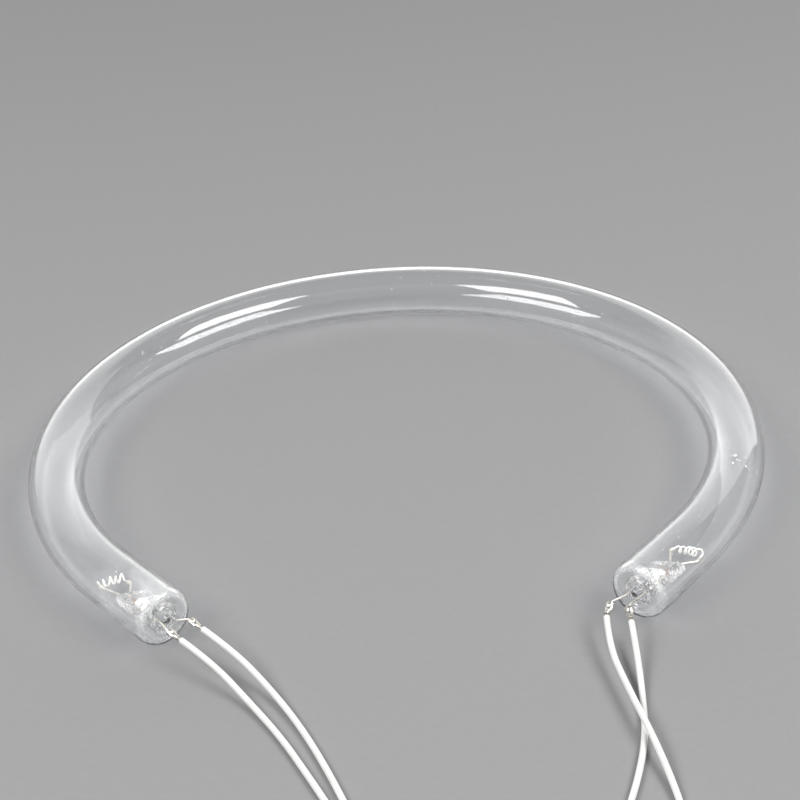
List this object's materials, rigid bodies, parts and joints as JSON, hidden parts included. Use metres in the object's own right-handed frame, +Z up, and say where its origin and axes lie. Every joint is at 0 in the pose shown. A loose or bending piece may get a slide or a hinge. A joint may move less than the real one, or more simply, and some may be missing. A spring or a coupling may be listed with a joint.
{
  "type": "circular germicidal lamp",
  "caption": "Open ring of clear glass tube with a filament stem sealed in each end and insulated wires spliced to its leads, for germicidal light.",
  "frame": {"origin": "middle of the lamp's footprint on the surface that it lies on, without its insulated wires", "axes": "+Z up, away from that surface; -Y towards the gap between the ring's two ends; +X along the ring's widest extent"},
  "size_m": [0.213, 0.3011, 0.016],
  "materials": {
    "clear_glass": "clear, fire polished",
    "nickel_wire": "drawn nickel-plated wire",
    "copper_clad_wire": "copper-clad seal wire, oxidised red",
    "coated_tungsten": "tungsten coil under a chalky white oxide coating",
    "tinned_sleeve": "crimped, thinly tinned brass",
    "tinned_copper": "tinned copper strands",
    "white_insulation": "extruded, satin white",
    "mercury": "liquid mirror"
  },
  "bodies": {
    "root": {"glass_tube": "clear_glass", "stem_left": "clear_glass", "exhaust_tube_left": "clear_glass", "filament_left": "coated_tungsten", "inner_lead_left_inboard": "nickel_wire", "seal_wire_left_inboard": "copper_clad_wire", "outer_lead_left_inboard": "nickel_wire", "splice_sleeve_left_inboard": "tinned_sleeve", "wire_strands_left_inboard": "tinned_copper", "wire_left_inboard": "white_insulation", "wire_tip_left_inboard": "tinned_copper", "inner_lead_left_outboard": "nickel_wire", "seal_wire_left_outboard": "copper_clad_wire", "outer_lead_left_outboard": "nickel_wire", "splice_sleeve_left_outboard": "tinned_sleeve", "wire_strands_left_outboard": "tinned_copper", "wire_left_outboard": "white_insulation", "wire_tip_left_outboard": "tinned_copper", "stem_right": "clear_glass", "exhaust_tube_right": "clear_glass", "filament_right": "coated_tungsten", "inner_lead_right_inboard": "nickel_wire", "seal_wire_right_inboard": "copper_clad_wire", "outer_lead_right_inboard": "nickel_wire", "splice_sleeve_right_inboard": "tinned_sleeve", "wire_strands_right_inboard": "tinned_copper", "wire_right_inboard": "white_insulation", "wire_tip_right_inboard": "tinned_copper", "inner_lead_right_outboard": "nickel_wire", "seal_wire_right_outboard": "copper_clad_wire", "outer_lead_right_outboard": "nickel_wire", "splice_sleeve_right_outboard": "tinned_sleeve", "wire_strands_right_outboard": "tinned_copper", "wire_right_outboard": "white_insulation", "wire_tip_right_outboard": "tinned_copper", "mercury_beads": "mercury"}
  },
  "joints": []
}
